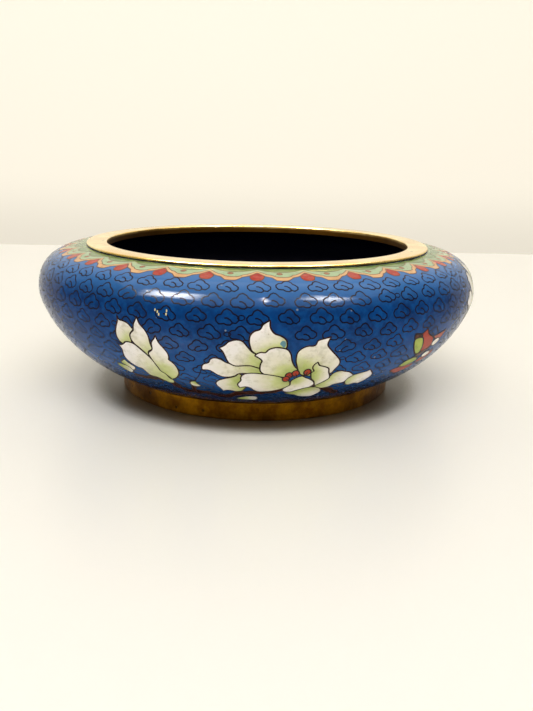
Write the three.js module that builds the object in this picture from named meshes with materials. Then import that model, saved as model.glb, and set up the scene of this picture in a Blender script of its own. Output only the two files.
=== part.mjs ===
// A low cloisonné bowl: a spun copper shell under enamel, a flat brass ring round its mouth
// and a brass foot ring under its base. Millimetres, +Z up, the origin on the axis at the
// height of the table that the foot stands on.

import * as THREE from 'three';

// Widths
const bodyDiameter = 200;        // across the belly, the widest part
const mouthDiameter = 138.8;     // clear opening inside the brass ring
const lipWidth = 9;              // flat face of the mouth ring
const footDiameter = 127.2;      // outside of the foot ring

// Heights, each measured from the one before
const footHeight = 7.6;          // table to the top of the foot ring
const bellyRise = 39.8;          // base of the shell to the belly
const shoulderRise = 18.1;       // belly to the flat edge under the mouth ring
const lipThickness = 1.1;

// Thicknesses
const shellWall = 2.2;           // copper with enamel on both faces
const footWall = 2.4;
const collarWall = 1.15;         // the part of the mouth ring that lines the cut edge of the shell
const baseRise = 1;              // how far the base is dished up at its centre
const footEdgeRadius = 0.5;
const mouthEdgeRadius = 0.5;
const solderGap = 0.1;           // between two pieces that are soldered face to face

// The flowing curve of the shell, as shares of its own widths and heights
const flareOut = 0.772;          // how far the wall runs out over the foot before it turns up
const flareUp = 0.298;           // how far it climbs meanwhile
const bellyBelow = 0.133;        // upright stretch under the belly
const bellyAbove = 0.885;        // upright stretch over the belly
const shoulderIn = 0.37;         // flat stretch beside the mouth ring
const shoulderDrop = 0.038;      // its slight fall

// Facets
const sides = 72;                // round the axis
const wallSteps = 9;             // along each half of the shell's curve
const baseSteps = 3;
const edgeStep = 45;             // degrees turned by each facet of a rounded edge

const bodyRadius = bodyDiameter / 2;
const mouthRadius = mouthDiameter / 2;
const footRadius = footDiameter / 2;
const rimRadius = mouthRadius + lipWidth;
const shellEdgeRadius = mouthRadius + collarWall + solderGap;

const baseHeight = footHeight + solderGap;
const bellyHeight = baseHeight + bellyRise;
const seatHeight = bellyHeight + shoulderRise;
const lipUnderside = seatHeight + solderGap;
const rimTop = lipUnderside + lipThickness;

const at = (radius, height) => new THREE.Vector2(radius, height);

// Turns a closed profile of radii and heights round the Z axis. A profile that climbs on the
// outside has its faces pointing out.
function turned(profile) {
  return new THREE.LatheGeometry(profile, sides).rotateX(Math.PI / 2);
}

// A rounded edge: points on an arc about a centre, between two angles in degrees.
function roundedEdge(radius, height, edgeRadius, fromDegrees, toDegrees) {
  const points = [];
  for (let degrees = fromDegrees; degrees <= toDegrees; degrees += edgeStep) {
    const angle = THREE.MathUtils.degToRad(degrees);
    points.push(at(radius + edgeRadius * Math.cos(angle), height + edgeRadius * Math.sin(angle)));
  }
  return points;
}

// The outside of the shell in two halves: the flank from the foot up to the belly, and the
// shoulder that turns over from the belly to the mouth ring.
const flank = new THREE.CubicBezierCurve(
  at(footRadius, baseHeight),
  at(THREE.MathUtils.lerp(footRadius, bodyRadius, flareOut), baseHeight + flareUp * bellyRise),
  at(bodyRadius, bellyHeight - bellyBelow * bellyRise),
  at(bodyRadius, bellyHeight));
const shoulder = new THREE.CubicBezierCurve(
  at(bodyRadius, bellyHeight),
  at(bodyRadius, bellyHeight + bellyAbove * shoulderRise),
  at(THREE.MathUtils.lerp(rimRadius, bodyRadius, shoulderIn),
    seatHeight - shoulderDrop * shoulderRise),
  at(rimRadius, seatHeight));

// Points along a curve, moved square to it towards the inside by a distance.
function alongCurve(curve, inset) {
  const points = [];
  for (let step = 0; step <= wallSteps; step++) {
    const share = step / wallSteps;
    const tangent = curve.getTangent(share);
    points.push(curve.getPoint(share).add(at(-tangent.y, tangent.x).multiplyScalar(inset)));
  }
  return points;
}

// The dished base from its centre to a radius, raised by a lift.
function dishedBase(radius, lift) {
  const height = baseHeight + lift;
  return new THREE.CubicBezierCurve(
    at(0, height + baseRise), at(radius / 2, height + baseRise),
    at(radius / 2, height), at(radius, height)).getPoints(baseSteps);
}

function shellGeometry() {
  const baseRadius = footRadius - footWall;
  const outside = [...alongCurve(flank, 0), ...alongCurve(shoulder, 0).slice(1)];
  const inside = [...alongCurve(flank, shellWall).slice(1), ...alongCurve(shoulder, shellWall).slice(1)];
  return turned([
    ...dishedBase(baseRadius, 0),
    ...outside,
    at(shellEdgeRadius, seatHeight),
    at(shellEdgeRadius, seatHeight - shellWall),
    ...inside.reverse(),
    ...dishedBase(baseRadius, shellWall).reverse(),
  ]);
}

// A flat lip that lies on the shell, and a collar that goes down over the shell's cut edge.
function mouthRingGeometry() {
  const lipEdge = lipThickness / 2;
  const profile = [
    at(mouthRadius, seatHeight - shellWall),
    at(mouthRadius + collarWall, seatHeight - shellWall),
    at(mouthRadius + collarWall, lipUnderside),
    ...roundedEdge(rimRadius - lipEdge, lipUnderside + lipEdge, lipEdge, -90, 90),
    ...roundedEdge(mouthRadius + mouthEdgeRadius, rimTop - mouthEdgeRadius, mouthEdgeRadius, 90, 180),
  ];
  return turned([...profile, profile[0].clone()]);
}

function footRingGeometry() {
  const innerRadius = footRadius - footWall;
  const profile = [
    ...roundedEdge(footRadius - footEdgeRadius, footEdgeRadius, footEdgeRadius, -90, 0),
    at(footRadius, footHeight),
    at(innerRadius, footHeight),
    ...roundedEdge(innerRadius + footEdgeRadius, footEdgeRadius, footEdgeRadius, 180, 270),
  ];
  return turned([...profile, profile[0].clone()]);
}

function piece(name, geometry, material) {
  const mesh = new THREE.Mesh(geometry, material);
  mesh.name = name;
  return mesh;
}

const enamel = new THREE.MeshStandardMaterial({ color: 0x14437a, roughness: 0.12, metalness: 0 });
const polishedBrass = new THREE.MeshStandardMaterial({ color: 0xd2ab62, roughness: 0.3, metalness: 1 });
const tarnishedBrass = new THREE.MeshStandardMaterial({ color: 0x6b4a1c, roughness: 0.45, metalness: 1 });

const bowl = new THREE.Group();
bowl.add(piece('bowl_body', shellGeometry(), enamel));
bowl.add(piece('mouth_ring', mouthRingGeometry(), polishedBrass));
bowl.add(piece('foot_ring', footRingGeometry(), tarnishedBrass));

export default bowl;
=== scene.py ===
# %% [markdown]
# # A low cloisonné bowl
# The real bowl is a copper shell. Flat wire is bent into the outlines of clouds, petals and
# scallops and stood on the copper, every cell is filled with powdered glass, and the bowl is fired
# and ground smooth, so that wire and glass end in one flush surface. A brass ring covers the cut
# edge at the mouth and another one makes the foot.
# This lesson first loads the measured solids, which set the main sizes. Then it turns the shell and
# the rings on a lathe of nodes, draws the whole pattern on a flat sheet, and wraps that sheet round.

# %% Load the frame
import math
import bpy
from mathutils import Matrix, Vector
from mathutils.geometry import delaunay_2d_cdt


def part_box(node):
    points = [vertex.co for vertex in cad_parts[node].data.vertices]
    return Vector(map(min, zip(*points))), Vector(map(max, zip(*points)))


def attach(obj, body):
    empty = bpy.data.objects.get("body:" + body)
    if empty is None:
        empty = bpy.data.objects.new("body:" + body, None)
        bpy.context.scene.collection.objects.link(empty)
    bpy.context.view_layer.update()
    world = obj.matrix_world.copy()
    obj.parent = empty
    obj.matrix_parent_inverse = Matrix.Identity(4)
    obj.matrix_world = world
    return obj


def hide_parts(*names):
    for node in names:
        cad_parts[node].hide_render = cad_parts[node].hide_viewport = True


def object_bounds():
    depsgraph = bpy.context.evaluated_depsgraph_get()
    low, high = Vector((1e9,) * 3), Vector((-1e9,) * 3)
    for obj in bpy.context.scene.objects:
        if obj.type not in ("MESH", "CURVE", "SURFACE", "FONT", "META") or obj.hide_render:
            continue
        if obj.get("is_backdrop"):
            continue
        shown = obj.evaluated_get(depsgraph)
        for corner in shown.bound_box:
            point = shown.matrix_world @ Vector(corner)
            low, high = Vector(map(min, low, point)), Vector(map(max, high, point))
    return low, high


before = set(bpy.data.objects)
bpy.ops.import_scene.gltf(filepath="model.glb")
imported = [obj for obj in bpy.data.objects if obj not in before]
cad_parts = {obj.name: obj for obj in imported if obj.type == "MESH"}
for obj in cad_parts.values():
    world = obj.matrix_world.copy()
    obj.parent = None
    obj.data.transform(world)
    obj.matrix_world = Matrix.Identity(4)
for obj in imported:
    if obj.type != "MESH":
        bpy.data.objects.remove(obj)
cad_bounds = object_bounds()
scene = bpy.context.scene
MM = 0.001
print("solids:", sorted(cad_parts), "box:", cad_bounds)

# %% [markdown]
# ## Sizes
# Everything that the solids know is read from them: how wide the belly is, where the mouth ring
# sits, how high the foot stands. Only the few sizes that a box can't tell are written here, such as
# the height of the belly and the thickness of the wall. The shell is drawn a hair inside the
# solid, so that the cells and wires laid on it stay inside the solid's own surface.

# %% Sizes from the solids
shell_low, shell_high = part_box("bowl_body")
ring_low, ring_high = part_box("mouth_ring")
foot_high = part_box("foot_ring")[1]

belly_radius = shell_high[0]
seat_height = shell_high[2]
base_height = shell_low[2]
rim_radius = ring_high[0]
rim_top = ring_high[2]
collar_bottom = ring_low[2]
foot_radius = foot_high[0]
foot_height = foot_high[2]

belly_height = 47.5 * MM
mouth_radius = 69.4 * MM
lip_thickness = 1.1 * MM
collar_wall = 1.15 * MM
foot_wall = 2.4 * MM
shell_wall = 2.2 * MM
base_rise = 1 * MM
inlay = 0.2 * MM                 # room for cells and wires between the shell and the solid
circumference = 2 * math.pi * belly_radius
print(f"belly {belly_radius / MM:.1f} mm, mouth ring {rim_radius / MM:.1f} mm,",
      f"foot {foot_radius / MM:.1f} mm")

# %% [markdown]
# ## The profile
# A turned vessel is one line. This one leaves the foot at a low angle, swells to the belly and
# turns over in a tight shoulder that is almost flat when it meets the mouth ring. Two cubic curves
# that share an upright tangent at the belly give that line with no kink. An arc would be simpler,
# but the real shoulder is much tighter than the flank. The handles are shares of the line's own
# width and height.

# %% Curves of the profile
FLARE_OUT, FLARE_UP = 0.772, 0.298
BELLY_BELOW, BELLY_ABOVE = 0.133, 0.885
SHOULDER_IN, SHOULDER_DROP = 0.37, 0.038


def between(low, high, share):
    """The value that lies a share of the way from low to high."""
    return low + (high - low) * share


def cubic(points, share):
    """Place and direction on a cubic curve."""
    a, b, c, d = (Vector(point) for point in points)
    rest = 1 - share
    place = a * rest ** 3 + b * (3 * rest ** 2 * share) + c * (3 * rest * share ** 2) + d * share ** 3
    heading = (b - a) * rest ** 2 + (c - b) * (2 * rest * share) + (d - c) * share ** 2
    return place, heading.normalized()


def wall_line(curve, inset, steps):
    """Points along a curve, moved square to it towards the inside of the bowl."""
    line = []
    for step in range(steps + 1):
        place, heading = cubic(curve, step / steps)
        line.append(place + Vector((-heading.y, heading.x)) * inset)
    return line


flank_rise = belly_height - base_height
shoulder_rise = seat_height - belly_height
flank = [
    (foot_radius, base_height),
    (between(foot_radius, belly_radius, FLARE_OUT), base_height + FLARE_UP * flank_rise),
    (belly_radius, belly_height - BELLY_BELOW * flank_rise),
    (belly_radius, belly_height),
]
shoulder = [
    (belly_radius, belly_height),
    (belly_radius, belly_height + BELLY_ABOVE * shoulder_rise),
    (between(rim_radius, belly_radius, SHOULDER_IN), seat_height - SHOULDER_DROP * shoulder_rise),
    (rim_radius, seat_height),
]
outside = wall_line(flank, inlay, 60) + wall_line(shoulder, inlay, 50)[1:]
inside = wall_line(flank, shell_wall, 40)[3:] + wall_line(shoulder, shell_wall, 36)[1:]
sheet_height = sum((b - a).length for a, b in zip(outside, outside[1:]))
print(f"the line from the mouth ring to the foot is {sheet_height / MM:.1f} mm long")

# %% [markdown]
# ## Node expressions
# Both shaders and Geometry Nodes are sums of sockets. Written as Python expressions they stay
# readable: `mask * 0.3 + 0.1` instead of two Math nodes placed by hand. One small class wraps a
# socket and overloads the operators, and one method adds every other kind of node.

# %% Sockets that can be added and multiplied


class Term:
    """A socket in a sum. Each operation adds one Math node to the tree."""

    def __init__(self, graph, socket):
        self.graph = graph
        self.socket = socket

    def math(self, operation, *others):
        values = dict(enumerate((self, *others)))
        return self.graph.node("ShaderNodeMath", {"operation": operation}, values)[0]

    def __add__(self, other):
        return self.math("ADD", other)

    def __sub__(self, other):
        return self.math("SUBTRACT", other)

    def __mul__(self, other):
        return self.math("MULTIPLY", other)

    def __truediv__(self, other):
        return self.math("DIVIDE", other)

    def __lt__(self, other):
        return self.math("LESS_THAN", other)

    def __gt__(self, other):
        return self.math("GREATER_THAN", other)

    def __rsub__(self, other):
        return self * -1 + other

    __radd__ = __add__
    __rmul__ = __mul__

    def clamped(self):
        return self.math("MAXIMUM", 0).math("MINIMUM", 1)

    def ramp(self, low, high):
        """0 at low and 1 at high, smooth between them."""
        share = ((self - low) / (high - low)).clamped()
        return share * share * (3 - share * 2)


class Outputs:
    """The outputs of a node, by name or by number."""

    def __init__(self, graph, made):
        self.graph = graph
        self.made = made

    def __getitem__(self, key):
        return Term(self.graph, self.made.outputs[key])


class Graph:
    """A node tree, with one way to add a node."""

    def __init__(self, tree):
        self.tree = tree

    def node(self, kind, settings=None, values=None):
        made = self.tree.nodes.new(kind)
        for name, value in (settings or {}).items():
            if name == "stops":
                self.set_stops(made.color_ramp, value)
            else:
                setattr(made, name, value)
        for key, value in (values or {}).items():
            if isinstance(value, Term):
                self.tree.links.new(value.socket, made.inputs[key])
            else:
                made.inputs[key].default_value = value
        return Outputs(self, made)

    @staticmethod
    def set_stops(ramp, stops):
        while len(ramp.elements) < len(stops):
            ramp.elements.new(1)
        for element, (place, colour) in zip(ramp.elements, stops):
            element.position = place
            element.color = (*colour, 1)

    def blend(self, mask, first, second):
        """Colour first where the mask is 0 and second where it is 1."""
        colours = [c if isinstance(c, Term) else (*c, 1) for c in (first, second)]
        mix = {"data_type": "RGBA", "clamp_factor": True}
        return self.node("ShaderNodeMix", mix, {0: mask, 6: colours[0], 7: colours[1]})[2]

    def split(self, vector):
        return self.node("ShaderNodeSeparateXYZ", None, {0: vector})

    def vector(self, x, y, z):
        return self.node("ShaderNodeCombineXYZ", None, {0: x, 1: y, 2: z})[0]


print("an expression such as mask * 0.3 + 0.1 makes two Math nodes")

# %% [markdown]
# ## Geometry trees
# Every tree below is built once and run on one drawing or more. What comes out is a plain mesh, so
# nothing live is left on a piece. A helper makes a tree with named inputs. Another one runs it on a
# drawing and hands back the finished mesh.

# %% Helpers to build and run a tree
SOCKETS = {
    "length": "NodeSocketFloat", "number": "NodeSocketInt", "object": "NodeSocketObject",
    "material": "NodeSocketMaterial",
}


def geometry_tree(name, inputs):
    """A Geometry Nodes tree with named inputs, and the node that holds what it is given."""
    tree = bpy.data.node_groups.new(name, "GeometryNodeTree")
    tree.interface.new_socket("Geometry", in_out="OUTPUT", socket_type="NodeSocketGeometry")
    tree.interface.new_socket("Geometry", in_out="INPUT", socket_type="NodeSocketGeometry")
    for label, kind in inputs.items():
        tree.interface.new_socket(label, in_out="INPUT", socket_type=SOCKETS[kind])
    graph = Graph(tree)
    return graph, graph.node("NodeGroupInput")


def result(graph, geometry):
    """Ends a tree with its output."""
    graph.node("NodeGroupOutput", None, {0: geometry})
    return graph.tree


def position(graph):
    return graph.node("GeometryNodeInputPosition")[0]


def moved_to(graph, geometry, place):
    return graph.node("GeometryNodeSetPosition", None, {"Geometry": geometry, "Position": place})[0]


def point_number(graph, name):
    """A number that a drawing carries on each of its points."""
    kind = {"data_type": "FLOAT"}
    return graph.node("GeometryNodeInputNamedAttribute", kind, {"Name": name})[0]


def shape_of(graph, tool):
    """The geometry of another object."""
    return graph.node("GeometryNodeObjectInfo", None, {"Object": tool})["Geometry"]


def realized(graph, copies):
    return graph.node("GeometryNodeRealizeInstances", None, {0: copies})[0]


def shaded(graph, geometry, smooth=True):
    return graph.node("GeometryNodeSetShadeSmooth", {"domain": "FACE"}, {
        0: geometry, "Shade Smooth": smooth})[0]


def painted(graph, geometry, material):
    return graph.node("GeometryNodeSetMaterial", None, {"Geometry": geometry, "Material": material})[0]


def drawing(name, points, edges=(), faces=(), **values):
    """A mesh object that a tree reads, with one number for each point under each name in values."""
    mesh = bpy.data.meshes.new(name)
    mesh.from_pydata([tuple(point) for point in points], edges, faces)
    for label, numbers in values.items():
        mesh.attributes.new(label, "FLOAT", "POINT").data.foreach_set("value", numbers)
    made = bpy.data.objects.new(name, mesh)
    scene.collection.objects.link(made)
    return made


def run(tree, source, name, **values):
    """Runs a tree on a drawing and returns the result as a plain mesh object."""
    modifier = source.modifiers.new(tree.name, "NODES")
    modifier.node_group = tree
    for item in tree.interface.items_tree:
        label = item.name.lower().replace(" ", "_")
        if item.in_out == "INPUT" and label in values:
            modifier[item.identifier] = values[label]
    bpy.context.view_layer.update()
    evaluated = source.evaluated_get(bpy.context.evaluated_depsgraph_get())
    mesh = bpy.data.meshes.new_from_object(evaluated)
    source.modifiers.remove(modifier)
    bpy.data.objects.remove(source)
    mesh.name = name
    made = bpy.data.objects.new(name, mesh)
    scene.collection.objects.link(made)
    triangles = sum(len(face.vertices) - 2 for face in mesh.polygons)
    print(f"{name}: {len(mesh.vertices)} points, {triangles} triangles")
    return made


print("the inputs of a tree can be of", len(SOCKETS), "kinds")

# %% [markdown]
# ## A lathe of nodes
# The shell and both rings are turned, so each is one profile swept round the axis. The tree lays
# out a grid with one row for each point of the profile and one column for each step of the turn,
# and moves every vertex to its place. Points that fall together, at the seam and on the axis, are
# merged, and edges that bend by more than a set angle stay crisp.

# %% The lathe
SIDES = 240
CRISP_ANGLE = math.radians(40)
SAME_PLACE = 0.001 * MM


def lathe_tree():
    graph, given = geometry_tree("lathe", {
        "Sides": "number", "Rows": "number", "Crisp Angle": "length", "Material": "material"})
    grid = graph.node("GeometryNodeMeshGrid", None, {
        "Size X": 1, "Size Y": 1, "Vertices X": given["Sides"] + 1, "Vertices Y": given["Rows"]})
    spot = graph.split(position(graph))
    row = (spot["Y"] + 0.5) * (given["Rows"] - 1)
    turn = (spot["X"] + 0.5) * (2 * math.pi)
    index = graph.node("FunctionNodeFloatToInt", {"rounding_mode": "ROUND"}, {0: row})[0]

    def on_profile(kind, value):
        return graph.node("GeometryNodeSampleIndex", {"data_type": kind}, {
            "Geometry": given["Geometry"], "Index": index, "Value": value})[0]

    place = graph.split(on_profile("FLOAT_VECTOR", position(graph)))
    side = on_profile("FLOAT", point_number(graph, "inner"))
    turned = graph.vector(
        place["X"] * turn.math("SINE"), place["X"] * turn.math("COSINE") * -1, place["Z"])
    stored = graph.node("GeometryNodeStoreNamedAttribute", {"data_type": "FLOAT"}, {
        "Geometry": grid["Mesh"], "Name": "inner", "Value": side})
    merged = graph.node("GeometryNodeMergeByDistance", None, {
        "Geometry": moved_to(graph, stored[0], turned), "Distance": SAME_PLACE})
    bend = graph.node("GeometryNodeInputMeshEdgeAngle")[0]
    crisp = graph.node("GeometryNodeSetShadeSmooth", {"domain": "EDGE"}, {
        0: shaded(graph, merged[0]), "Selection": bend > given["Crisp Angle"],
        "Shade Smooth": False})
    return result(graph, painted(graph, realized(graph, crisp[0]), given["Material"]))


LATHE = lathe_tree()


def turned_piece(name, profile, material, inner=None):
    """A solid of revolution from a profile that climbs on its outside."""
    points = [(point.x, 0, point.y) for point in profile]
    source = drawing("profile", points, inner=inner or [0] * len(points))
    return run(LATHE, source, name, sides=SIDES, rows=len(points),
               crisp_angle=CRISP_ANGLE, material=material)


print("the lathe has", len(LATHE.nodes), "nodes and turns", SIDES, "steps")

# %% [markdown]
# ## From the flat sheet to the bowl
# The pattern is easier to draw flat. On the sheet, x is the way round the bowl, measured at the
# belly, y is minus the way down its profile from the mouth ring, and z is the lift off the enamel.
# The tree reads the profile as a curve: Sample Curve gives the place and the direction at any
# length along it, so any flat mesh can follow the wall.

# %% Wrap and repeat, as nodes


def wrapped(graph, geometry, guide):
    """Moves flat geometry onto the wall of the bowl."""
    flat = graph.split(position(graph))
    sample = graph.node("GeometryNodeSampleCurve", {"mode": "LENGTH", "use_all_curves": True}, {
        "Curves": shape_of(graph, guide), "Length": flat["Y"] * -1})
    place = graph.split(sample["Position"])
    along = graph.split(sample["Tangent"])
    radius = place["X"] - along["Z"] * flat["Z"]
    height = place["Z"] + along["X"] * flat["Z"]
    turn = flat["X"] / belly_radius
    wall = graph.vector(radius * turn.math("SINE"), radius * turn.math("COSINE") * -1, height)
    return moved_to(graph, geometry, wall)


def repeated(graph, geometry, count, pitch):
    """Copies flat geometry along x."""
    line = graph.node("GeometryNodeMeshLine", None, {
        "Count": count, "Offset": graph.vector(pitch, 0, 0)})
    copies = graph.node("GeometryNodeInstanceOnPoints", None, {
        "Points": line[0], "Instance": geometry})
    return realized(graph, copies[0])


def swept(graph, curves, width, height, lift):
    """A wire along flat curves: a tube that is pressed flat and laid at a lift. Its faces are
    shaded flat, as a ground wire is, so that its sides don't shine."""
    ring = graph.node("GeometryNodeCurvePrimitiveCircle", {"mode": "RADIUS"}, {
        "Resolution": 4, "Radius": width / 2})
    tube = graph.node("GeometryNodeCurveToMesh", None, {
        "Curve": curves, "Profile Curve": ring[0]})
    spot = graph.split(position(graph))
    pressed = graph.vector(spot["X"], spot["Y"], (spot["Z"] / width + 0.5) * height + lift)
    return shaded(graph, moved_to(graph, tube[0], pressed), smooth=False)


print("a flat drawing can be repeated, swept into wire and wrapped round")

# %% Trees for cells and for wires


def cell_tree():
    graph, given = geometry_tree("cells", {
        "Count": "number", "Pitch": "length", "Guide": "object", "Material": "material"})
    row = repeated(graph, given["Geometry"], given["Count"], given["Pitch"])
    wall = wrapped(graph, shaded(graph, row), given["Guide"])
    return result(graph, painted(graph, wall, given["Material"]))


def wire_tree():
    graph, given = geometry_tree("wires", {
        "Count": "number", "Pitch": "length", "Width": "length", "Height": "length",
        "Lift": "length", "Guide": "object", "Material": "material"})
    lines = graph.node("GeometryNodeMeshToCurve", None, {0: given["Geometry"]})
    tube = swept(graph, lines[0], given["Width"], given["Height"], given["Lift"])
    row = repeated(graph, tube, given["Count"], given["Pitch"])
    wall = wrapped(graph, row, given["Guide"])
    return result(graph, painted(graph, wall, given["Material"]))


CELLS = cell_tree()
WIRES = wire_tree()

guide_line = bpy.data.curves.new("profile guide", "CURVE")
guide_line.dimensions = "3D"
guide_spline = guide_line.splines.new("POLY")
guide_spline.points.add(len(outside) - 1)
for spline_point, point in zip(guide_spline.points, reversed(outside)):
    spline_point.co = (point.x, 0, point.y, 1)
guide = bpy.data.objects.new("profile guide", guide_line)
scene.collection.objects.link(guide)
print("the guide has", len(guide_spline.points), "points from the mouth ring to the foot")

# %% [markdown]
# ## Cloud field
# The blue ground is full of small scrolled clouds. They aren't ornament alone: the wire holds the
# glass, and a wide cell without wire would crack. One cloud is drawn. The tree starts from one
# point for each row, copies it as often as the row is long, and staggers the rows. Each cloud is
# turned and sized a little at random with a fixed seed, and widened where the bowl is narrow,
# since the sheet gets squeezed there. Clouds that would lie under a blossom are left out.

# %% Scatter tree
STRAY_ACROSS, STRAY_DOWN = 0.5 * MM, 0.35 * MM
STRAY_TURN = 0.11                # radians
CLOUD_SIZES = (0.99, 1.15)
MIRRORED_SHARE = 0.1
BLOSSOM_CLEARANCE = 0.9 * MM


def scatter_tree():
    graph, given = geometry_tree("scattered wires", {
        "Symbol": "object", "Blossoms": "object", "Share": "length", "Seed": "number",
        "Width": "length", "Height": "length", "Guide": "object", "Material": "material"})

    def chance(low, high, seed):
        kind = {"data_type": "FLOAT"}
        return graph.node("FunctionNodeRandomValue", kind, {
            "Min": low, "Max": high, "Seed": given["Seed"] + seed})["Value"]

    copies = graph.node("GeometryNodeDuplicateElements", {"domain": "POINT"}, {
        "Geometry": given["Geometry"], "Amount": point_number(graph, "count")})
    step = copies["Duplicate Index"] + point_number(graph, "phase")
    across = step * point_number(graph, "pitch") + chance(-STRAY_ACROSS, STRAY_ACROSS, 1)
    down = graph.split(position(graph))["Y"] + chance(-STRAY_DOWN, STRAY_DOWN, 2)
    placed = moved_to(graph, copies["Geometry"], graph.vector(across, down, 0))
    near = graph.node("GeometryNodeProximity", {"target_element": "FACES"}, {
        0: shape_of(graph, given["Blossoms"])})
    under = near["Distance"] < BLOSSOM_CLEARANCE
    unused = chance(0, 1, 3) > given["Share"]
    kept = graph.node("GeometryNodeDeleteGeometry", {"domain": "POINT"}, {
        "Geometry": placed, "Selection": under.math("MAXIMUM", unused)})
    line = graph.node("GeometryNodeMeshToCurve", None, {0: shape_of(graph, given["Symbol"])})
    size = chance(*CLOUD_SIZES, 4)
    side = (chance(0, 1, 5) > MIRRORED_SHARE) * 2 - 1
    turned = graph.vector(0, 0, chance(-STRAY_TURN, STRAY_TURN, 6))
    strewn = graph.node("GeometryNodeInstanceOnPoints", None, {
        "Points": kept[0], "Instance": line[0],
        "Rotation": graph.node("FunctionNodeEulerToRotation", None, {0: turned})[0],
        "Scale": graph.vector(size * side * point_number(graph, "widening"), size, 1)})
    tube = swept(graph, realized(graph, strewn[0]), given["Width"], given["Height"], 0)
    wall = wrapped(graph, tube, given["Guide"])
    return result(graph, painted(graph, wall, given["Material"]))


SCATTER = scatter_tree()
print("the scatter tree has", len(SCATTER.nodes), "nodes")

# %% [markdown]
# ## Lines and cells
# An outline is a few points that a smooth curve goes through. A third number marks a sharp point,
# such as the tip of a petal. The petals overlap, and in enamel work only the visible part of each
# is a cell. So all outlines go into one triangulation together: each small triangle
# belongs to the topmost petal over it, and a wire runs wherever two neighbouring triangles belong
# to different petals. Outlines are in millimetres, with the way down the sheet as y.

# %% Smooth lines
TIP = 1


def smooth_line(points, closed=True, step=0.6):
    """Points along a smooth curve through the given ones, in millimetres."""
    line = []
    count = len(points)
    spots = [Vector(point[:2]) for point in points]
    sharp = [len(point) > 2 for point in points]
    for index in range(count if closed else count - 1):
        if closed:
            before, after, beyond = (index - 1) % count, (index + 1) % count, (index + 2) % count
        else:
            before, after, beyond = max(index - 1, 0), index + 1, min(index + 2, count - 1)
        here, there = spots[index], spots[after]
        leave = (there - here) if sharp[index] else (there - spots[before]) / 2
        arrive = (there - here) if sharp[after] else (spots[beyond] - here) / 2
        pieces = max(1, round((there - here).length / step))
        curve = (here, here + leave / 3, there - arrive / 3, there)
        line += [cubic(curve, part / pieces)[0] for part in range(pieces)]
    if not closed:
        line.append(spots[-1])
    return line


def ribbon(points, width):
    """The outline of a branch that follows a line, now thicker and now thinner."""
    line = smooth_line(points, closed=False, step=2)
    left, right = [], []
    for index, spot in enumerate(line):
        ahead = line[min(index + 1, len(line) - 1)] - line[max(index - 1, 0)]
        across = Vector((-ahead.y, ahead.x)).normalized() * width / 2
        across *= 1 + 0.22 * math.sin(index * 2.1 + width)
        left.append(spot + across)
        right.append(spot - across)
    return [tuple(spot) for spot in left + right[::-1]]


def oval(x, y, across, down, count=8):
    turns = [2 * math.pi * step / count for step in range(count)]
    return [(x + across * math.cos(turn), y + down * math.sin(turn)) for turn in turns]


print("a smooth oval has", len(smooth_line(oval(0, 0, 2, 1))), "points")

# %% Cells of an inlay
INSIDE_ONLY = 1                  # triangles outside every outline are left out
SAME_SPOT = 1e-4


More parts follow.
